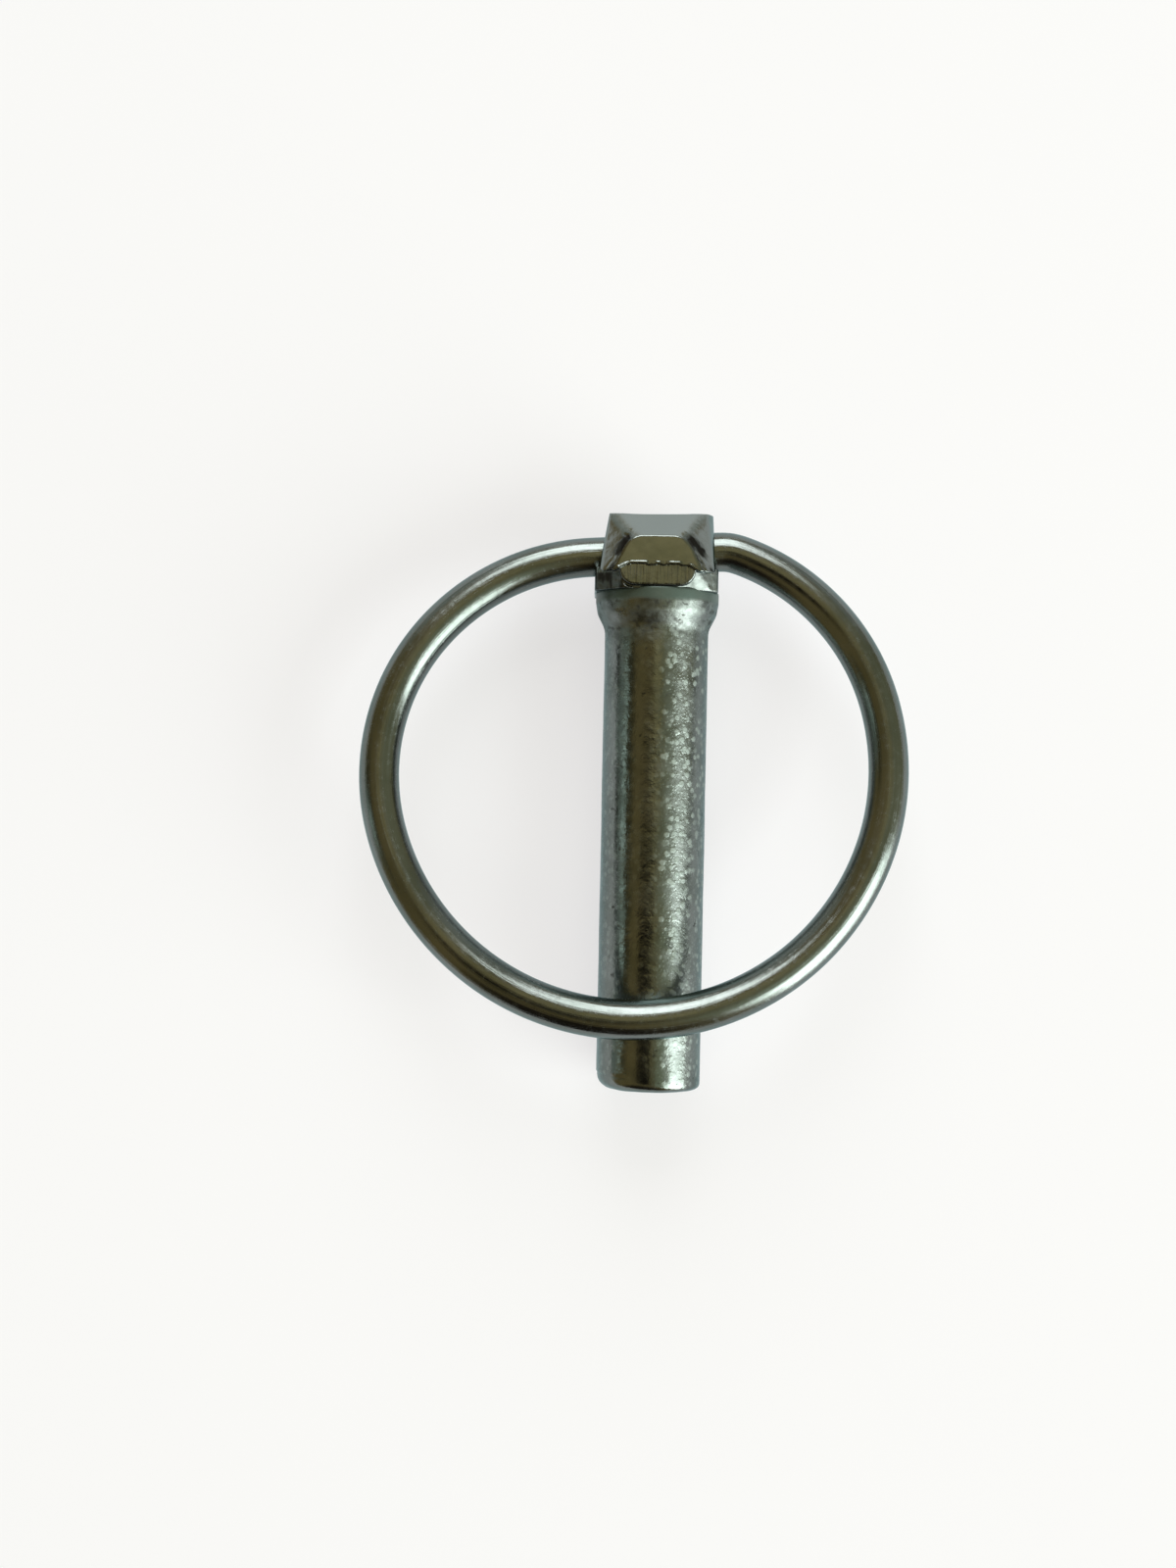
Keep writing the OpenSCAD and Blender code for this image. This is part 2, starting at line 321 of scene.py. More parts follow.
def shank_zones(obj, points, waves, pits):
    """Where the shank is smooth, dull, matt, blistered (mostly on the lit front right, partly painted
    highlight) and dark (dark patches and painted shade under the head's foot), from 0 to 1.
    """
    y = points[:, 1]
    band_low = BAND_LOW + 0.12 * waves(points * [0.5, 0.1, 0.5])
    on_band = smooth_step(-0.3, 0.1, y - band_low)
    tip_edge = y + 1.2 * waves.layers(points * [0.6, 0.2, 0.6] + 9, 2)
    worn = smooth_step(TIP_WORN_FROM + 0.5, TIP_WORN_TO, tip_edge)
    point_value(obj, "smooth_zone", np.maximum(0.25 * worn, on_band))
    point_value(obj, "dull_zone", on_band)
    point_value(obj, "matt_zone", smooth_step(-2.5, 0.6, y) * (1 - on_band))
    # real blisters, laid mostly on the lit front right, so their paler colour there is partly painted
    # highlight
    turned = np.degrees(np.arctan2(points[:, 0], points[:, 2]))
    turned = turned + 9 * waves.layers(points * [0.4, 0.3, 0.4] + 6, 2)
    sides = np.maximum(between(BLISTERS_RIGHT, turned), 0.4 * between(BLISTERS_LEFT, turned))
    blisters = (0.25 + 0.75 * sides) * (1 - 0.6 * smooth_step(-1.0, 1.0, y))
    blisters = blisters * smooth_step(-SHANK_L - 0.3, -SHANK_L + 1.4, y)
    point_value(obj, "blister_and_highlight_zone", blisters)
    # dark skin lies in patches round the neck, and painted shade lies under the head's foot
    neck_dark = smooth_step(0.3, 0.8, pits.layers(points * [1.7, 2.2, 1.7] + 4, 3))
    neck_dark = neck_dark * smooth_step(-1.5, 0.8, y) * smooth_step(0.1, -0.3, y - band_low)
    shade_under_foot = smooth_step(COLLAR_H - 0.2, COLLAR_H - 0.02, y)
    point_value(obj, "grime_and_shade", np.maximum(0.55 * neck_dark, shade_under_foot))


def build_shank():
    waves, pits = Noise(11), Noise(12)
    rings = shank_rings()
    points = wear_shank(shank_points(rings), waves, pits)
    points = np.vstack([points, [[TIP_SHIFT * 0.5, -SHANK_L, 0], [0, COLLAR_H, 0]]])
    obj = mesh_object("pin_shank", points, tube_faces(len(rings), SHANK_AROUND))
    shank_zones(obj, points, waves, pits)
    return obj


def leaning_face(ax, az, up, at_x, at_z, turn, lean):
    """Distance to an upright face that is turned from the front and leans in with height."""
    across = (ax - at_x) * math.sin(turn) + (az - at_z) * math.cos(turn)
    return across * math.cos(lean) + up * math.sin(lean)


def crown_faces(ax, az, up):
    """Distances to the crown's corner, edge and bevel faces."""
    pad_lean = math.atan((CROWN_PAD_LOW - CROWN_PAD_TOP) / CROWN_PAD_H)
    turn = math.radians(CORNER_TURN)
    lean = math.atan(math.sin(turn) * math.tan(pad_lean))
    face = leaning_face(ax, az, up, CROWN_PAD_LOW, CROWN_DEEP, turn, lean)
    edge_x = CROWN_PAD_LOW + CORNER_W
    edge_z = CROWN_DEEP - CORNER_W * math.tan(turn)
    edge = leaning_face(ax, az, up, edge_x, edge_z, math.radians(EDGE_TURN), math.radians(EDGE_LEAN))
    tilt = math.radians(TOP_BEVEL)
    bevel = (az - CROWN_DEEP) * math.cos(tilt) + (up - CROWN_PAD_H) * math.sin(tilt)
    return face, edge, bevel


def crown_ends(x, y):
    """Distances to the crown's left and right sides and its dished top."""
    up = y - RIDGE
    left_lean, right_lean = math.radians(LEFT_LEAN), math.radians(RIGHT_LEAN)
    left = -(x + LEFT_HALF) * math.cos(left_lean) + up * math.sin(left_lean)
    right = (x - RIGHT_HALF) * math.cos(right_lean) + up * math.sin(right_lean)
    half = (LEFT_HALF + RIGHT_HALF) / 2
    dish_r = (half * half + TOP_DISH * TOP_DISH) / (2 * TOP_DISH)
    top = y - (TOP - TOP_DISH + x * math.tan(math.radians(TOP_SLANT)) + x * x / (2 * dish_r))
    return left, right, top


def ridge_sag(ax):
    """How far the pad's lower edge hangs down towards its ends."""
    return SAG * smooth_step(SAG_FROM, SAG_TO, ax)


def pad_gap(ax, up):
    """Distance sideways from the crown pad's slanted edge."""
    return ax - CROWN_PAD_LOW + up * (CROWN_PAD_LOW - CROWN_PAD_TOP) / CROWN_PAD_H


def slide(x, y, z, across, along):
    """Noise places for marks that run down the corner faces and differ on the two sides."""
    ax, az = np.abs(x), np.abs(z)
    first = (0.8 * ax + 0.6 * y) * across + 17 * np.sign(x)
    return np.stack([first, (0.6 * ax - 0.8 * y) * along, az * 1.2], -1)


def crease_field(x, y, az, side, ragged):
    """Distance to the crease from a pad's upper corner towards the head's top corner."""
    shift = np.array([0, RIDGE, CROWN_DEEP])
    start = np.array(CREASE_FROM) * [side, 1, 1] + shift
    line = np.array(CREASE_TO) * [side, 1, 1] + shift - start
    gap = np.stack([x, y, az], -1) - start
    t = np.clip((gap @ line) / (line @ line), 0, 1)
    distance = np.linalg.norm(gap - t[..., None] * line, axis=-1)
    return distance - (CREASE_R - CREASE_TAPER * t) * (1 + 0.6 * ragged)


HEAD_ROUGH, HEAD_FINE, HEAD_DRIFT = Noise(21), Noise(22), Noise(23)


def head_field(p, detail=True):
    """Distance to the head's surface, below 0 inside, with its marks and damage or without."""
    x, y, z = p[..., 0] + HEAD_OFF, p[..., 1], p[..., 2]
    ax, az, up = np.abs(x), np.abs(z), y - RIDGE
    hang = up + ridge_sag(ax) * smooth_step(3.6, 5.2, az)
    skin = ragged = lump = torn = streak = burr = 0.0
    if detail:
        skin = SKIN_DEEP * HEAD_ROUGH.layers(p * 2.2, 3)
        ragged = HEAD_FINE.layers(p * [2.4, 0.8, 0.8], 2)
        lump = LUMP_DEEP * HEAD_DRIFT(p * 0.45)
        torn = TORN_DEEP * HEAD_ROUGH.layers(slide(x, y, z, 3.6, 0.9), 3)
        streak = STREAK_DEEP * HEAD_FINE.layers(p * [3.6, 0.4, 0.3], 2)
        # a burr stands along the front pad's lower edge
        burr = BURR_PROUD * (z > 0) * np.exp(-((hang - BURR_UP - 0.05 * ragged) / BURR_W) ** 2)
        burr = burr * np.clip(0.6 + 0.9 * ragged, 0, 1)

    # the foot with its corner faces
    turn = math.radians(FOOT_TURN)
    corner = (ax - FOOT_FRONT) * math.sin(turn) + (az - FOOT_DEEP) * math.cos(turn)
    foot = smooth_max(ax - FOOT_HALF, az - FOOT_DEEP, FOOT_SOFT)
    foot = smooth_max(foot, corner + 0.9 * skin, FOOT_SOFT)
    foot = smooth_max(foot, COLLAR_H - FOOT_SINK - y, FOOT_LOW_SOFT)
    foot = smooth_max(foot, up, FOOT_TOP_SOFT)
    foot = foot + 0.4 * lump
    if detail:
        # a facet torn off the lower right corner in front
        gaps = [out * (value - at) for out, value, at in zip(FACET_OUT, (x, y, z), FACET_AT)]
        facet = gaps[0] + gaps[1] + gaps[2] + 0.5 * skin
        foot = np.where((x > 0) & (z > 0), smooth_max(foot, facet, FACET_SOFT), foot)

    # the pad below the ridge, with streaks down its face and a groove round its lower outline
    inner_x, inner_y = PAD_HALF - PAD_ROUND, COLLAR_H + PAD_ROUND
    outline = np.hypot(np.maximum(ax - inner_x, 0), np.maximum(inner_y - y, 0)) - PAD_ROUND
    pad = smooth_max(outline + 0.5 * skin, az - PAD_DEEP + streak, PAD_SOFT)
    pad = smooth_max(pad, up - PAD_LAP, PAD_TOP_SOFT)
    groove = np.hypot(outline - GROOVE_OUT, az - FOOT_DEEP - GROOVE_UP) - GROOVE_R
    foot = smooth_max(foot, -groove, GROOVE_SOFT)
    low = smooth_min(foot, pad, JOIN_SOFT)

    # the crown, torn beside its pad, with a wandering lower edge
    face, edge, bevel = crown_faces(ax, az, up)
    left, right, top = crown_ends(x, y)
    front = az - CROWN_DEEP - burr + 0.2 * skin
    beside = smooth_step(1.2, 0.4, pad_gap(ax, up))
    torn_face = face + beside * torn + (0.15 + 0.4 * beside) * skin
    crown = smooth_max(left, right, CROWN_SOFT)
    crown = smooth_max(crown, edge + 0.4 * skin, CROWN_SOFT)
    crown = smooth_max(crown, smooth_max(torn_face, bevel + 0.25 * lump, SLOPE_SOFT), CORNER_SOFT)
    crown = smooth_max(crown, front, FRONT_SOFT)
    crown = smooth_max(crown, -hang + 0.08 * ragged - 0.05, RIDGE_SOFT)
    crown = smooth_max(crown, top + 0.3 * lump, TOP_SOFT)
    if detail:
        for side in (-1, 1):
            crown = smooth_max(crown, -crease_field(x, y, az, side, ragged), CREASE_SOFT)
    head = smooth_min(low, crown, JOIN_SOFT)

    # the cross bore
    across = -(p[..., 0]) * math.sin(BORE_SLANT) + (y - BORE_Y) * math.cos(BORE_SLANT)
    bore = np.hypot(across, z) - BORE_R
    return smooth_max(head, -bore, BORE_SOFT)


JUST_INSIDE = -1e-6


def join_corners(f):
    """Turns single samples inside until no two insides, and no two outsides, meet only at a corner."""
    shape = f.shape

    def part(offset):
        return f[tuple(slice(o, o + n - 1) for o, n in zip(offset, shape))]

    def face_part(u, v, du, dv):
        cut = [slice(None)] * 3
        cut[u] = slice(du, shape[u] - 1 + du)
        cut[v] = slice(dv, shape[v] - 1 + dv)
        return f[tuple(cut)]

    corners = [part((c & 1, c >> 1 & 1, c >> 2)) for c in range(8)]
    for _ in range(12):
        changed = False
        for axis in range(3):
            u, v = (axis + 1) % 3, (axis + 2) % 3
            a, b, c, d = (face_part(u, v, *step) for step in ((0, 0), (1, 1), (0, 1), (1, 0)))
            for p, q, r, s in ((a, b, c, d), (c, d, a, b)):
                bad = (p < 0) & (q < 0) & (r >= 0) & (s >= 0)
                first, second = bad & (r <= s), bad & (s < r)
                r[first] = JUST_INSIDE
                s[second] = JUST_INSIDE
                changed = changed or bool(bad.any())
        for one in range(4):
            p, q = corners[one], corners[7 - one]
            others = [corners[c] for c in range(8) if c not in (one, 7 - one)]
            apart = (p < 0) & (q < 0) & np.all([o >= 0 for o in others], axis=0)
            gaps = (p >= 0) & (q >= 0) & np.all([o < 0 for o in others], axis=0)
            others[0][apart] = JUST_INSIDE
            p[gaps] = JUST_INSIDE
            changed = changed or bool(apart.any() or gaps.any())
        if not changed:
            break
    return f


def net_points(f, low, step):
    """One point per crossed cell, at the mean of its edges' crossings, and each cell's point number."""
    shape = tuple(n - 1 for n in f.shape)
    total, count = np.zeros((*shape, 3)), np.zeros(shape)

    def corner(offset):
        return f[tuple(slice(o, o + n) for o, n in zip(offset, shape))]

    for axis in range(3):
        others = [a for a in range(3) if a != axis]
        for m in (0, 1):
            for n in (0, 1):
                start = [0, 0, 0]
                start[others[0]], start[others[1]] = m, n
                stop = list(start)
                stop[axis] = 1
                fa, fb = corner(start), corner(stop)
                cross = (fa < 0) != (fb < 0)
                at = np.broadcast_to(np.array(start, float), (*shape, 3)).copy()
                at[..., axis] = np.where(cross, fa / np.where(cross, fa - fb, 1), 0)
                total += at * cross[..., None]
                count += cross
    active = count > 0
    index = np.full(shape, -1, np.int64)
    index[active] = np.arange(active.sum())
    points = (np.argwhere(active) + total[active] / count[active][:, None]) * step + np.array(low)
    return points, index


def net_faces(f, index):
    """A quad round every crossed grid edge, facing out."""
    faces = []
    for axis in range(3):
        u, v = (axis + 1) % 3, (axis + 2) % 3
        near = [slice(1, -1)] * 3
        far = [slice(1, -1)] * 3
        near[axis], far[axis] = slice(0, -1), slice(1, None)
        fa, fb = f[tuple(near)], f[tuple(far)]
        crossed = np.argwhere((fa < 0) != (fb < 0))
        inside = (fa < 0)[tuple(crossed.T)]
        corners = []
        for du, dv in ((0, 0), (1, 0), (1, 1), (0, 1)):
            cell = crossed.copy()
            cell[:, u] += du
            cell[:, v] += dv
            corners.append(index[tuple(cell.T)])
        quad = np.stack(corners, 1)
        quad[~inside] = quad[~inside][:, ::-1]
        faces.append(quad)
    return np.vstack(faces)


def surface_net(field, low, high, step):
    """Points and quads on the field's zero surface."""
    axes = [np.arange(l, h + step, step) for l, h in zip(low, high)]
    f = join_corners(field(np.stack(np.meshgrid(*axes, indexing="ij"), -1)))
    points, index = net_points(f, low, step)
    return points, net_faces(f, index)


def settle(points, field, steps=2, reach=0.01, limit=0.06, least=0.2):
    """Moves points onto the field's zero surface."""
    for _ in range(steps):
        value = field(points)
        ways = np.eye(3) * reach
        slope = np.stack([field(points + way) - field(points - way) for way in ways], 1) / (2 * reach)
        size = np.maximum((slope ** 2).sum(1), least)
        points = points - np.clip(value / size, -limit, limit)[:, None] * slope
    return points


def head_zones(obj, points):
    """Where the head is dark (dark marks and painted shade), smooth, matt, pale (with painted highlight on
    the bevel and the lit foot side) and streaked, from 0 to 1.
    """
    x, y, z = points[:, 0] + HEAD_OFF, points[:, 1], points[:, 2]
    ax, az, up = np.abs(x), np.abs(z), y - RIDGE
    face, edge, bevel = crown_faces(ax, az, up)
    hang = up + ridge_sag(ax)
    n = Noise(31)
    in_crown = smooth_step(-0.15, 0.1, hang)
    in_foot = smooth_step(0.05, -0.15, hang)
    behind = smooth_step(0.03, 0.14, CROWN_DEEP - az)
    slope = smooth_max(face, bevel, SLOPE_SOFT)
    on_slope = smooth_step(0.26, 0.1, np.abs(slope)) * in_crown * behind
    to_bevel = smooth_step(-0.6, 0.4, bevel - face)
    on_face = on_slope * (1 - to_bevel)
    on_bevel = on_slope * to_bevel
    on_edge = smooth_step(0.12, 0.05, np.abs(edge)) * in_crown
    on_pad = smooth_step(0.16, 0.06, np.maximum(CROWN_DEEP - az, 0)) * (ax < PAD_REACH)

    # dark torn marks on the corner faces, near the pad and more on the right
    marks = slide(x, y, z, 4.2, 1.1)
    torn = smooth_step(-0.1, 0.45, n.layers(marks, 3) + 0.22 * (x > 0)) * smooth_step(2.9, 1.9, up)
    from_pad = pad_gap(ax, up) + 0.25 * n.layers(points * 1.3 + 8, 2)
    reach = np.where(x > 0, TORN_RIGHT, TORN_LEFT)
    near = smooth_step(reach, 0.45 * reach, from_pad)
    torn = torn * near
    # painted shade runs down the crease from each of the pad's upper corners
    flow = (ax - NOOK_X) * NOOK_RUN - (up - NOOK_UP) * NOOK_DROP
    flow = np.clip(flow / (NOOK_RUN ** 2 + NOOK_DROP ** 2), 0, 1)
    crease_shade = np.hypot(ax - NOOK_X - NOOK_RUN * flow, up - NOOK_UP + 0.1 + NOOK_DROP * flow)
    crease_shade = crease_shade + 0.42 * n.layers(marks * [1.2, 1.4, 1.4] + 3, 3)
    crease_shade = 0.92 * smooth_step(0.95 - 0.3 * flow, 0.1, crease_shade)
    spots = smooth_step(-0.3, 0.5, n.layers(points * [1.5, 0.9, 1.5], 3))

    # painted shade in the hollows, and on the sides of the foot with dark spots there, left off the front
    # right where the light falls
    foot_side = in_foot * smooth_step(0.04, 0.16, PAD_DEEP - az) * (az > 2.5)
    lit = smooth_step(0.5, 2.0, x) * (z > 0)
    on_ridge = np.exp(-((hang - 0.05) / 0.16) ** 2) * (az > 5.6) * (ax < PAD_REACH)
    hollow_shade = smooth_step(0.04, 0.16, -head_field(points, detail=False))
    hollow_shade = hollow_shade * (1 - 0.8 * on_pad) * (1 - 0.95 * lit * in_foot) * (1 - 0.7 * on_ridge)
    corner_marks_and_shade = on_face * ((0.6 + 0.25 * (x > 0)) * torn + 0.3 * spots * near + crease_shade)
    grime_and_shade = 0.85 * hollow_shade + corner_marks_and_shade + foot_side * (0.5 + 0.4 * spots) * (1 - 0.85 * lit)
    clean = np.maximum(on_edge, on_face * (1 - near))
    smooth = np.maximum(np.maximum(on_bevel, clean), 0.6 * on_pad * in_crown)
    # paler on clean faces, and painted highlight on the bevel and on the foot's lit front right
    pale = 0.9 * on_bevel + 0.3 * clean + 0.1 * foot_side * lit
    point_value(obj, "grime_and_shade", np.clip(grime_and_shade, 0, 1))
    point_value(obj, "smooth_zone", np.clip(smooth, 0, 1))
    point_value(obj, "matt_zone", foot_side * lit)
    point_value(obj, "pale_and_highlight_zone", np.clip(pale, 0, 1))
    point_value(obj, "streak_zone", in_foot * smooth_step(0.12, 0.04, np.abs(PAD_DEEP - az)))


def build_head():
    points, faces = surface_net(head_field, HEAD_LOW, HEAD_HIGH, HEAD_STEP)
    points = settle(points, head_field)
    obj = mesh_object("pin_head", points, faces)
    head_zones(obj, points)
    return obj


def ring_line():
    """The wire's middle line in the ring's own plane, and how far from the bore it crosses the shank."""
    apart = LEFT_X + RIGHT_X
    step = ARM_R - END_BEND
    reach = math.hypot(apart, step)
    share = (apart ** 2 + 2 * step ** 2 - 4 * ARM_DRAW ** 2) / (2 * step)
    bend = math.atan2(apart, step) - math.acos(share / reach)
    turn = math.atan2(apart - step * math.sin(bend), -step * (1 - math.cos(bend)))
    left = np.array([-LEFT_X, ARM_R])
    away = np.array([math.sin(turn), math.cos(turn)])
    middle = left + ARM_DRAW * away
    right = middle + ARM_DRAW * away
    end = right + step * np.array([math.sin(bend), -math.cos(bend)])
    line = [[-END_GAP / 2, 0.0]]
    for centre, r, start, stop in (
        (left, ARM_R, 0, turn),
        (middle, RING_R, turn, turn + math.pi),
        (right, ARM_R, turn + math.pi, 2 * math.pi - bend),
        (end, END_BEND, 2 * math.pi - bend, 2 * math.pi),
    ):
        n = max(3, int(abs(stop - start) * r / ARC_STEP))
        for a in np.linspace(start, stop, n):
            line.append([centre[0] - r * math.sin(a), centre[1] - r * math.cos(a)])
    line.append([END_GAP / 2, 0.0])
    crossing = middle[1] + math.sqrt(RING_R ** 2 - middle[0] ** 2)
    return np.array(line), crossing


def build_ring():
    line, crossing = ring_line()
    line = even(line, WIRE_ROW)
    rows = len(line)
    # the ring's axes: along the bore, away from it, and square to both
    closed = math.asin((SHANK_R + WIRE_R + SEAT_GAP) / crossing)
    c, s = math.cos(BORE_SLANT), math.sin(BORE_SLANT)
    ex = np.array([c, s, 0.0])
    down = np.array([s, -c, 0.0])
    ey = down * math.cos(closed) + np.array([0, 0, 1.0]) * math.sin(closed)
    ez = np.cross(ex, ey)
    origin = np.array([0, BORE_Y, 0.0])
    tangent = np.gradient(line, axis=0)
    tangent /= np.linalg.norm(tangent, axis=1, keepdims=True)
    across = np.stack([-tangent[:, 1], tangent[:, 0]], 1)
    theta = np.arange(WIRE_AROUND) * 2 * math.pi / WIRE_AROUND
    cos, sin = np.cos(theta), np.sin(theta)
    waves, draw = Noise(41), Noise(42)
    run = distance_along(line)
    # the wire is left plain where it lies in the bore
    far = np.clip(line[:, 1] / WIRE_CALM, 0, 1)
    rings = np.zeros((rows, WIRE_AROUND, 3))
    for i in range(rows):
        wave_at = np.stack([np.full(WIRE_AROUND, run[i] * 0.11), 1.2 * cos + 5, 1.2 * sin + 5], 1)
        line_at = np.stack([np.full(WIRE_AROUND, run[i] * 0.05), 6 * cos + 9, 6 * sin + 9], 1)
        r = WIRE_R + far[i] * (WIRE_WAVE * waves(wave_at) + WIRE_LINES * draw.layers(line_at, 2))
        to_end = min(run[i], run[-1] - run[i])
        r = r - WIRE_END_CUT * max(0.0, 1 - to_end / WIRE_END_L)
        rings[i] = (origin + line[i, 0] * ex + line[i, 1] * ey
                    + (r * cos)[:, None] * (across[i, 0] * ex + across[i, 1] * ey)
                    + (r * sin)[:, None] * ez)
    points = np.vstack([rings.reshape(-1, 3), rings[0].mean(0), rings[-1].mean(0)])
    obj = mesh_object("ring_wire", points, tube_faces(rows, WIRE_AROUND, flip=True))
    # distance along the wire and round it, in mm, for marks that follow the wire
    turn = np.concatenate([np.tile(theta, rows), [0, 0]])
    point_value(obj, "along", np.concatenate([np.repeat(run, WIRE_AROUND), [0, run[-1]]]))
    point_value(obj, "round_x", np.cos(turn) * WIRE_R)
    point_value(obj, "round_y", np.sin(turn) * WIRE_R)
    return obj


class Tree:
    """Short calls for a node tree. Texture scales are per unit of their vector."""

    def __init__(self, tree):
        self.tree = tree
        tree.nodes.clear()

    def add(self, kind, **values):
        node = self.tree.nodes.new(kind)
        for key, value in values.items():
            setattr(node, key, value)
        return node

    def put(self, socket, value):
        if isinstance(value, bpy.types.NodeSocket):
            self.tree.links.new(value, socket)
        else:
            socket.default_value = value

    def math(self, kind, a, b, clamp=False):
        node = self.add("ShaderNodeMath", operation=kind, use_clamp=clamp)
        self.put(node.inputs[0], a)
        self.put(node.inputs[1], b)
        return node.outputs[0]

    def plus(self, a, b, clamp=False):
        return self.math("ADD", a, b, clamp)

    def times(self, a, b, clamp=False):
        return self.math("MULTIPLY", a, b, clamp)

    def larger(self, a, b):
        return self.math("MAXIMUM", a, b)

    def span(self, value, low, high, to_low=0.0, to_high=1.0):
        node = self.add("ShaderNodeMapRange", interpolation_type="SMOOTHSTEP")
        keys = ("Value", "From Min", "From Max", "To Min", "To Max")
        for key, v in zip(keys, (value, low, high, to_low, to_high)):
            self.put(node.inputs[key], v)
        return node.outputs[0]

    def mix(self, factor, a, b):
        node = self.add("ShaderNodeMix", data_type="RGBA")
        self.put(node.inputs[0], factor)
        self.put(node.inputs[6], a)
        self.put(node.inputs[7], b)
        return node.outputs[2]

    def noise(self, vector, scale, detail=3.0, rough=0.55):
        node = self.add("ShaderNodeTexNoise")
        self.put(node.inputs["Vector"], vector)
        node.inputs["Scale"].default_value = scale
        node.inputs["Detail"].default_value = detail
        node.inputs["Roughness"].default_value = rough
        return node.outputs["Fac"]

    def lines(self, vector, stretch, detail, rough):
        """Noise that is drawn out by its own scale along each axis."""
        node = self.add("ShaderNodeMapping")
        self.put(node.inputs["Vector"], vector)
        node.inputs["Scale"].default_value = stretch
        return self.noise(node.outputs[0], 1.0, detail, rough)

    def cells(self, vector, scale):
        node = self.add("ShaderNodeTexVoronoi", feature="SMOOTH_F1")
        self.put(node.inputs["Vector"], vector)
        node.inputs["Scale"].default_value = scale
        node.inputs["Smoothness"].default_value = 0.4
        return node.outputs["Distance"]

    def jitter(self, vector, scale, distance):
        """The vector moved by noise, by between nothing and the distance on each axis."""
        noise = self.add("ShaderNodeTexNoise")
        self.put(noise.inputs["Vector"], vector)
        noise.inputs["Scale"].default_value = scale
        noise.inputs["Detail"].default_value = 1.0
        node = self.add("ShaderNodeVectorMath", operation="MULTIPLY_ADD")
        self.put(node.inputs[0], noise.outputs["Color"])
        node.inputs[1].default_value = (distance, distance, distance)
        self.put(node.inputs[2], vector)
        return node.outputs[0]

    def value(self, name):
        return self.add("ShaderNodeAttribute", attribute_name=name).outputs["Fac"]

    def bump(self, height, distance, under=None):
        node = self.add("ShaderNodeBump")
        node.inputs["Strength"].default_value = 1.0
        node.inputs["Distance"].default_value = distance
        self.put(node.inputs["Height"], height)
        if under is not None:
            self.put(node.inputs["Normal"], under)
        return node.outputs[0]


ZINC = (0.178, 0.196, 0.190, 1)
ZINC_DULL = (0.138, 0.156, 0.146, 1)
ZINC_PALE_AND_HIGHLIGHT = (0.27, 0.305, 0.295, 1)
ZINC_WHITE = (0.285, 0.325, 0.308, 1)
ZINC_SATIN = (0.080, 0.110, 0.098, 1)
GRIME_AND_SHADE = (0.018, 0.015, 0.012, 1)
RIM = (0.62, 0.76, 0.78, 1)


def metal(name):
    mat = bpy.data.materials.new(name)
    mat.use_nodes = True
    t = Tree(mat.node_tree)
    out = t.add("ShaderNodeOutputMaterial")
    shader = t.add("ShaderNodeBsdfPrincipled")
    shader.inputs["Metallic"].default_value = 1.0
    shader.inputs["Specular Tint"].default_value = RIM
    t.put(out.inputs[0], shader.outputs[0])
    place = t.add("ShaderNodeTexCoord").outputs["Object"]
    return mat, t, shader, place


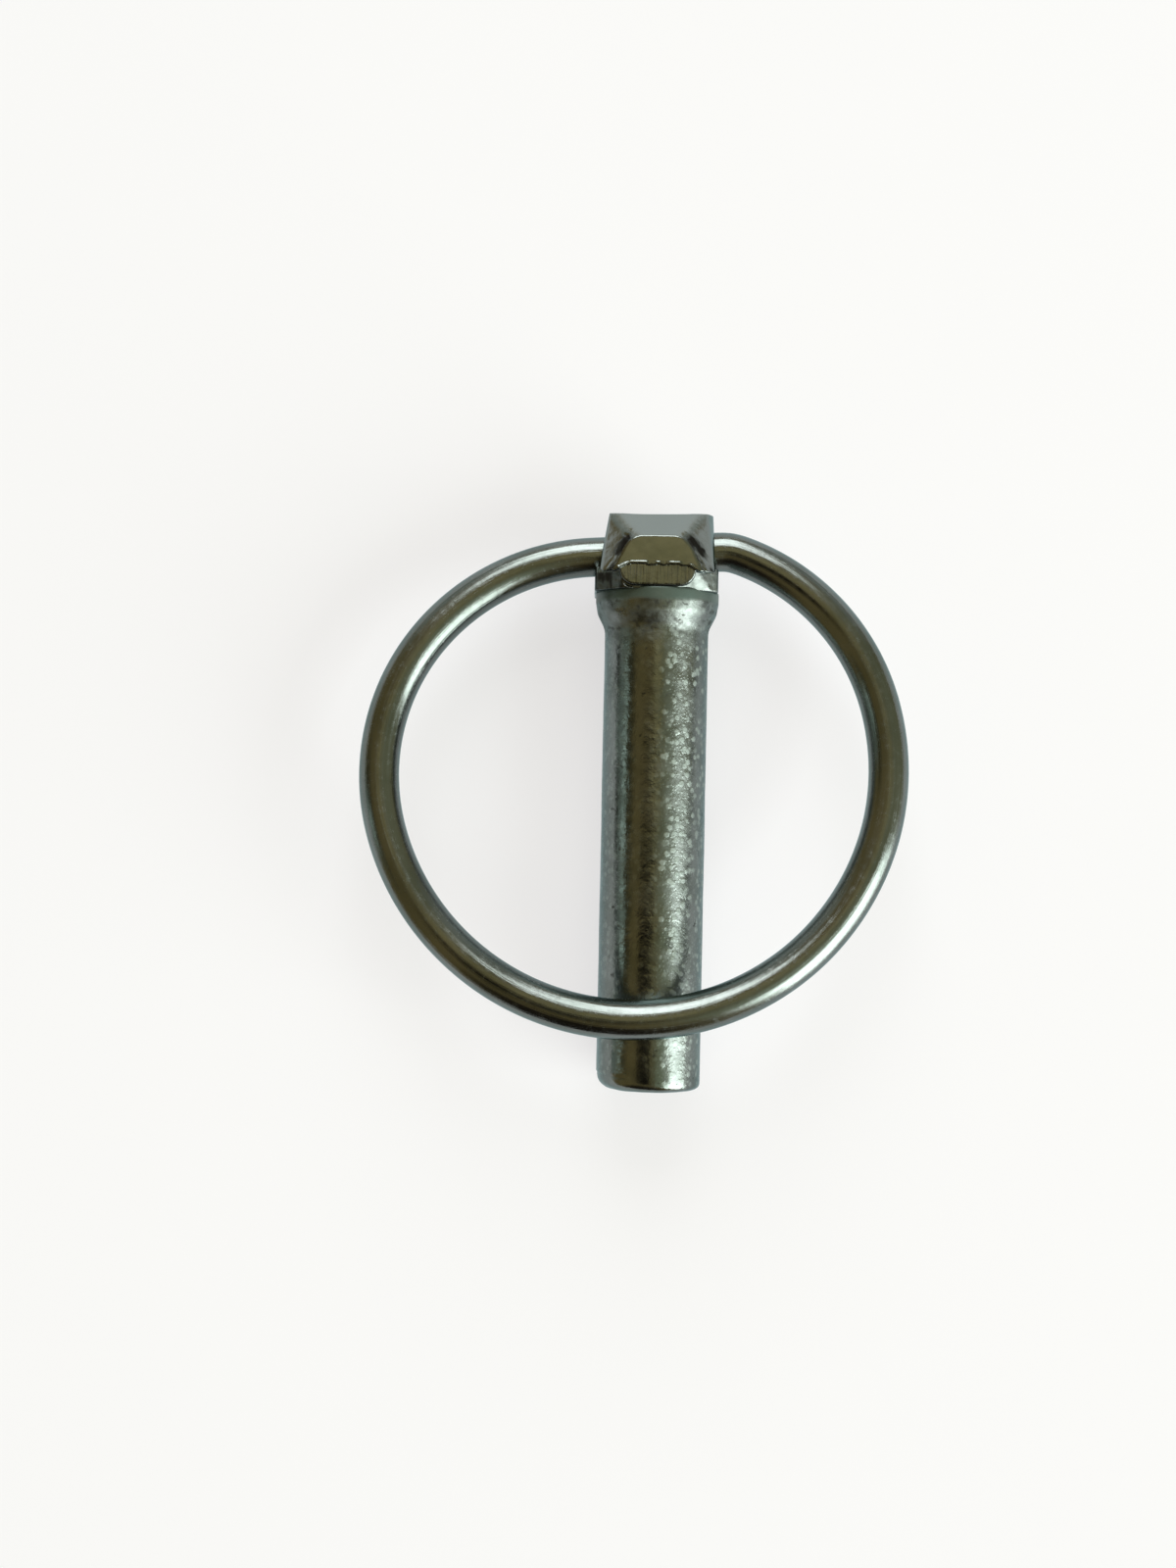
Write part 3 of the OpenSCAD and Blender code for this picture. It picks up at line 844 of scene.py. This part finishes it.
def pin_material(name, pit_share):
    mat, t, shader, place = metal(name)
    plain, grime_and_shade, dull = t.value("smooth_zone"), t.value("grime_and_shade"), t.value("dull_zone")
    blistered = t.value("blister_and_highlight_zone")
    rough_zone = t.math("SUBTRACT", 1.0, plain, clamp=True)

    # the forged skin: small blisters, grains, dimples, and scratches and streaks along the pin
    bubbles = t.span(t.cells(t.jitter(place, scale=1600, distance=0.0002), scale=1350), 0.47, 0.22)
    clusters = t.span(t.noise(place, scale=420, detail=2.0), 0.32, 0.5)
    blisters = t.times(t.times(bubbles, clusters), blistered)
    grains = t.times(t.span(t.cells(place, scale=3000), 0.45, 0.12), t.span(blistered, 0.0, 1.0, 0.25, 1.0))
    dimples = t.noise(place, scale=900, detail=4.0, rough=0.6)
    scratch = t.lines(place, stretch=(2600, 90, 2600), detail=3.0, rough=0.6)
    streaks = t.lines(place, stretch=(7500, 380, 300), detail=2.0, rough=0.5)
    streaks = t.times(streaks, t.value("streak_zone"))
    patches = t.noise(place, scale=320)
    broad = t.noise(place, scale=190, detail=2.0)

    # colour: zinc in patches, pale on clean faces and blisters with painted highlight on the head's bevel,
    # its lit foot side and the lit side's blisters, satin on the band, dark in pits, dirt and painted shade
    colour = t.mix(t.span(patches, 0.35, 0.7), ZINC, ZINC_DULL)
    colour = t.mix(t.value("pale_and_highlight_zone"), colour, ZINC_PALE_AND_HIGHLIGHT)
    white = t.times(t.larger(blisters, t.times(grains, 0.4)), rough_zone)
    colour = t.mix(white, colour, ZINC_WHITE)
    colour = t.mix(t.times(dull, t.span(patches, 0.2, 0.7, 0.75, 1.0)), colour, ZINC_SATIN)
    spots = t.times(t.span(dimples, 0.36, 0.26), t.times(rough_zone, pit_share), clamp=True)
    # dark pits, dirt and marks, together with painted shade in hollows, creases and under the head
    dark = t.larger(t.larger(spots, grime_and_shade), t.times(t.span(streaks, 0.42, 0.66), 0.28))
    t.put(shader.inputs["Base Color"], t.mix(dark, colour, GRIME_AND_SHADE))
    t.put(shader.inputs["Metallic"], t.math("SUBTRACT", 1.0, t.times(dull, 0.6)))

    # roughness: low on clean metal, higher on each kind of skin
    rough = t.span(broad, 0.3, 0.7, 0.10, 0.17)
    for zone, amount in (
        (rough_zone, t.span(dimples, 0.35, 0.65, 0.03, 0.12)),
        (t.times(blisters, rough_zone), 0.22),
        (t.times(t.span(blistered, 0.4, 1.0), rough_zone), 0.09),
        (dull, 0.28),
        (t.value("matt_zone"), t.span(dimples, 0.3, 0.7, 0.10, 0.24)),
    ):
        rough = t.plus(rough, t.times(zone, amount))
    t.put(shader.inputs["Roughness"], t.plus(rough, t.times(dark, 0.25), clamp=True))

    skin = t.plus(t.plus(blisters, t.times(grains, 0.6)), t.times(dimples, 3.0))
    skin = t.times(skin, t.plus(t.times(rough_zone, 0.92), 0.08))
    normal = t.bump(skin, 13 * MICRON)
    normal = t.bump(scratch, 4 * MICRON, under=normal)
    normal = t.bump(streaks, 13 * MICRON, under=normal)
    t.put(shader.inputs["Normal"], normal)
    return mat


def ring_material():
    mat, t, shader, place = metal("bright_wire")
    joined = t.add("ShaderNodeCombineXYZ")
    for i, name in enumerate(("along", "round_x", "round_y")):
        t.put(joined.inputs[i], t.value(name))
    wire_place = joined.outputs[0]
    lines = t.lines(wire_place, stretch=(0.07, 5.0, 5.0), detail=4.0, rough=0.65)
    marks = t.lines(wire_place, stretch=(0.5, 1.6, 1.6), detail=4.0, rough=0.65)
    specks = t.noise(place, scale=1500)
    patches = t.noise(place, scale=150)
    colour = t.mix(t.span(patches, 0.35, 0.7), ZINC, ZINC_DULL)
    dark = t.times(t.span(marks, 0.33, 0.22), 0.7)
    t.put(shader.inputs["Base Color"], t.mix(dark, colour, GRIME_AND_SHADE))
    rough = t.plus(t.span(lines, 0.3, 0.7, 0.12, 0.24), t.span(specks, 0.45, 0.75, 0.0, 0.10))
    t.put(shader.inputs["Roughness"], t.plus(rough, t.times(dark, 0.2)))
    normal = t.bump(lines, 22 * MICRON)
    normal = t.bump(specks, 6 * MICRON, under=normal)
    normal = t.bump(marks, 8 * MICRON, under=normal)
    t.put(shader.inputs["Normal"], normal)
    return mat


shank = build_shank()
head = build_head()
wire = build_ring()
shank.data.materials.append(pin_material("pitted_zinc", pit_share=0.75))
head.data.materials.append(pin_material("forged_zinc", pit_share=0.6))
wire.data.materials.append(ring_material())
for piece, body, node, slot in (
    (shank, "pin", "pin_body", "pin_steel"),
    (head, "pin", "pin_body", "pin_steel"),
    (wire, "ring", "spring_ring", "ring_steel"),
):
    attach(piece, body)
    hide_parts(node)


# Floor, light and camera, in metres.
FLOOR_HALF = 4.0
FLOOR_PALE = ((0.865, 0.865, 0.90, 1), (0.885, 0.88, 0.91, 1))
FLOOR_SEEN = (0.985, 0.98, 0.995, 1)
FLOOR_WHITE = 0.65
LIGHT_AIM = np.array([0, -0.018, 0.0])
CAMERA_PLACE = np.array([-0.00625, -0.0195, 0.1898])
CAMERA_RIGHT = np.array([0.9998, 0.021, 0.0])
CAMERA_BACK = np.array([0.0005, -0.0262, 0.9997])


def floor_material():
    mat = bpy.data.materials.new("pale_floor")
    mat.use_nodes = True
    t = Tree(mat.node_tree)
    out = t.add("ShaderNodeOutputMaterial")
    shader = t.add("ShaderNodeBsdfPrincipled")
    place = t.add("ShaderNodeTexCoord").outputs["Object"]
    grain = t.noise(place, scale=60, detail=2.0)
    t.put(shader.inputs["Base Color"], t.mix(grain, *FLOOR_PALE))
    shader.inputs["Roughness"].default_value = 0.9
    shader.inputs["Specular IOR Level"].default_value = 0.0
    # white to the eye, in metal and through glass, with part of the object's shadow
    ray = t.add("ShaderNodeLightPath")
    seen = t.larger(ray.outputs["Is Camera Ray"], ray.outputs["Is Glossy Ray"])
    seen = t.larger(seen, ray.outputs["Is Transmission Ray"])
    white = t.add("ShaderNodeEmission")
    white.inputs["Color"].default_value = FLOOR_SEEN
    white.inputs["Strength"].default_value = 1.0
    both = t.add("ShaderNodeMixShader")
    t.put(both.inputs[0], t.times(seen, FLOOR_WHITE))
    t.put(both.inputs[1], shader.outputs[0])
    t.put(both.inputs[2], white.outputs[0])
    t.put(out.inputs[0], both.outputs[0])
    return mat


floor_signs = ((-1, -1), (1, -1), (1, 1), (-1, 1))
floor_corners = [(x * FLOOR_HALF, y * FLOOR_HALF, cad_low[2]) for x, y in floor_signs]
floor_mesh = bpy.data.meshes.new("floor")
floor_mesh.from_pydata(floor_corners, [], [(0, 1, 2, 3)])
floor = bpy.data.objects.new("floor", floor_mesh)
bpy.context.scene.collection.objects.link(floor)
floor.data.materials.append(floor_material())


def unit(vector):
    vector = np.array(vector, float)
    return vector / np.linalg.norm(vector)


def stand(obj, side, rise, back, place):
    """Puts an object at a place with its x, y and z along these axes."""
    m = Matrix.Identity(4)
    for column, axis in enumerate((side, rise, back, place)):
        for i in range(3):
            m[i][column] = axis[i]
    obj.matrix_world = m


def soft_box(name, direction, distance, width, height, power, colour):
    """An area light in this direction from the object, facing it."""
    lamp = bpy.data.lights.new(name, "AREA")
    lamp.shape = "RECTANGLE"
    lamp.size, lamp.size_y = width, height
    lamp.energy = power
    lamp.color = colour
    obj = bpy.data.objects.new(name, lamp)
    bpy.context.scene.collection.objects.link(obj)
    back = unit(direction)
    side = unit(np.cross([0, 0, 1.0], back))
    stand(obj, side, np.cross(back, side), back, LIGHT_AIM + back * distance)


soft_box("top_box", direction=(-0.02, 0.83, 0.55), distance=1.5, width=0.8, height=1.0,
         power=14, colour=(0.95, 0.99, 1.0))
soft_box("right_box", direction=(0.785, -0.42, 0.385), distance=1.5, width=1.2, height=1.2,
         power=30, colour=(0.93, 1.0, 0.97))

# The room's colour, and round patches in it: direction, inner and outer angle in degrees, colour.
ROOM = (0.315, 0.240, 0.100, 1)
ROOM_PATCHES = (
    # paler and cooler to the right
    ((0.75, 0.1, 0.65), 20, 55, (0.40, 0.39, 0.235, 1)),
    ((0.52, -0.32, 0.79), 8, 26, (0.66, 0.72, 0.50, 1)),
    # dark to the left, with a pale patch low down and a small bright spot
    ((-0.88, 0.1, 0.46), 5, 21, (0.09, 0.08, 0.04, 1)),
    ((-0.99, 0.0, 0.06), 8, 16, (0.36, 0.43, 0.38, 1)),
    ((-0.93, 0.0, 0.34), 2, 7, (1.2, 1.5, 1.35, 1)),
    # warm overhead
    ((0.03, 0.19, 0.98), 4, 14, (0.72, 0.61, 0.30, 1)),
    # pale beyond the head, to both sides
    ((-0.5, 0.82, 0.24), 8, 20, (0.45, 0.48, 0.42, 1)),
    ((0.5, 0.82, 0.24), 8, 20, (0.45, 0.48, 0.42, 1)),
)
# The viewer: a dark box overhead, in the ray's x and y, and a dark patch low beyond the pin's tip.
VIEWER_ACROSS, VIEWER_ALONG, VIEWER_RISE = (-0.47, 0.02), (-0.36, 0.0), (0.2, 0.4)
VIEWER_SOFT = 0.04
VIEWER_DARK = (0.014, 0.012, 0.011, 1)
VIEWER_PATCH = ((-0.2, -0.85, 0.35), 18, 38, (0.03, 0.022, 0.016, 1))


def dim_room():
    """A dim warm room above the floor, with the patches and the viewer that the metal mirrors."""
    world = bpy.data.worlds.new("dim_room")
    bpy.context.scene.world = world
    world.use_nodes = True
    t = Tree(world.node_tree)
    out = t.add("ShaderNodeOutputWorld")
    background = t.add("ShaderNodeBackground")
    t.put(out.inputs[0], background.outputs[0])
    ray = t.add("ShaderNodeTexCoord").outputs["Generated"]

    def patch(colour, direction, inner, outer, tint):
        dot = t.add("ShaderNodeVectorMath", operation="DOT_PRODUCT")
        t.put(dot.inputs[0], ray)
        dot.inputs[1].default_value = unit(direction)
        outer_dot, inner_dot = math.cos(math.radians(outer)), math.cos(math.radians(inner))
        return t.mix(t.span(dot.outputs["Value"], outer_dot, inner_dot), colour, tint)

    colour = ROOM
    for spot in ROOM_PATCHES:
        colour = patch(colour, *spot)
    parts = t.add("ShaderNodeSeparateXYZ")
    t.put(parts.inputs[0], ray)
    share = t.span(parts.outputs[2], *VIEWER_RISE)
    for axis, (low, high) in enumerate((VIEWER_ACROSS, VIEWER_ALONG)):
        share = t.times(share, t.span(parts.outputs[axis], low - VIEWER_SOFT, low + VIEWER_SOFT))
        share = t.times(share, t.span(parts.outputs[axis], high + VIEWER_SOFT, high - VIEWER_SOFT))
    colour = t.mix(share, colour, VIEWER_DARK)
    colour = patch(colour, *VIEWER_PATCH)
    t.put(background.inputs["Color"], colour)
    background.inputs["Strength"].default_value = 1.0


dim_room()

camera_data = bpy.data.cameras.new("camera")
camera_data.lens = 45
camera_data.sensor_width = 36
camera_data.clip_start = 0.005
camera_data.clip_end = 20
camera = bpy.data.objects.new("camera", camera_data)
bpy.context.scene.collection.objects.link(camera)
camera_right = unit(CAMERA_RIGHT)
camera_back = unit(CAMERA_BACK - camera_right * (CAMERA_BACK @ camera_right))
stand(camera, camera_right, np.cross(camera_back, camera_right), camera_back, CAMERA_PLACE)
bpy.context.scene.camera = camera
bpy.context.scene.view_settings.view_transform = "Standard"
